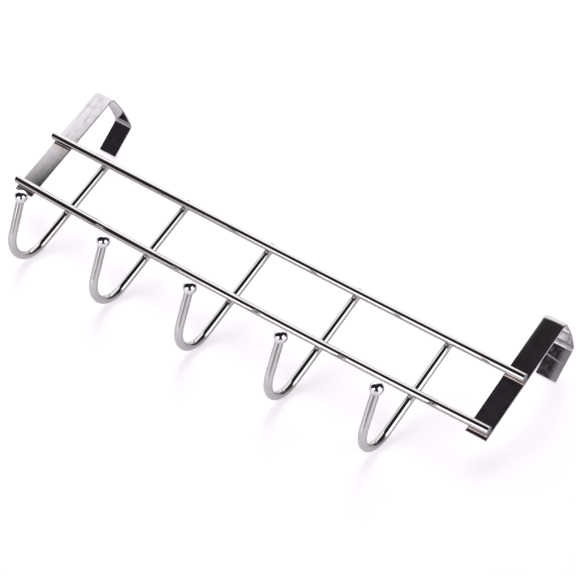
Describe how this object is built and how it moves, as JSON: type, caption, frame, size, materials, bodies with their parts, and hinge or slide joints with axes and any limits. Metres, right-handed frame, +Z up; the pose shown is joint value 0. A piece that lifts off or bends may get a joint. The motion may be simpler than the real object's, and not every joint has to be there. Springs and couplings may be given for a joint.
{
  "type": "over door hook rack",
  "caption": "Chrome-plated wire rack of ball-tipped coat hooks that hangs over the top of a door on bent strips.",
  "frame": {"origin": "mid-span of the rails, where the top front edge of the door meets the inside corner of the strips' front bends", "axes": "+X along the rails from left to right as seen from the front, +Y into the door, +Z up along the strips"},
  "size_m": [0.4101, 0.1123, 0.1574],
  "materials": {
    "wire": "bright chrome plate on steel wire",
    "hook_wire": "bright chrome plate on steel wire",
    "ball": "bright chrome plate on a steel ball",
    "strip": "bright chrome plate on rolled steel strip, with faint lengthwise rolling lines"
  },
  "bodies": {
    "root": {"upper_rail": "wire", "lower_rail": "wire", "left_bracket": "strip", "right_bracket": "strip", "hook_1": "hook_wire", "ball_1": "ball", "hook_2": "hook_wire", "ball_2": "ball", "hook_3": "hook_wire", "ball_3": "ball", "hook_4": "hook_wire", "ball_4": "ball", "hook_5": "hook_wire", "ball_5": "ball"}
  },
  "joints": []
}
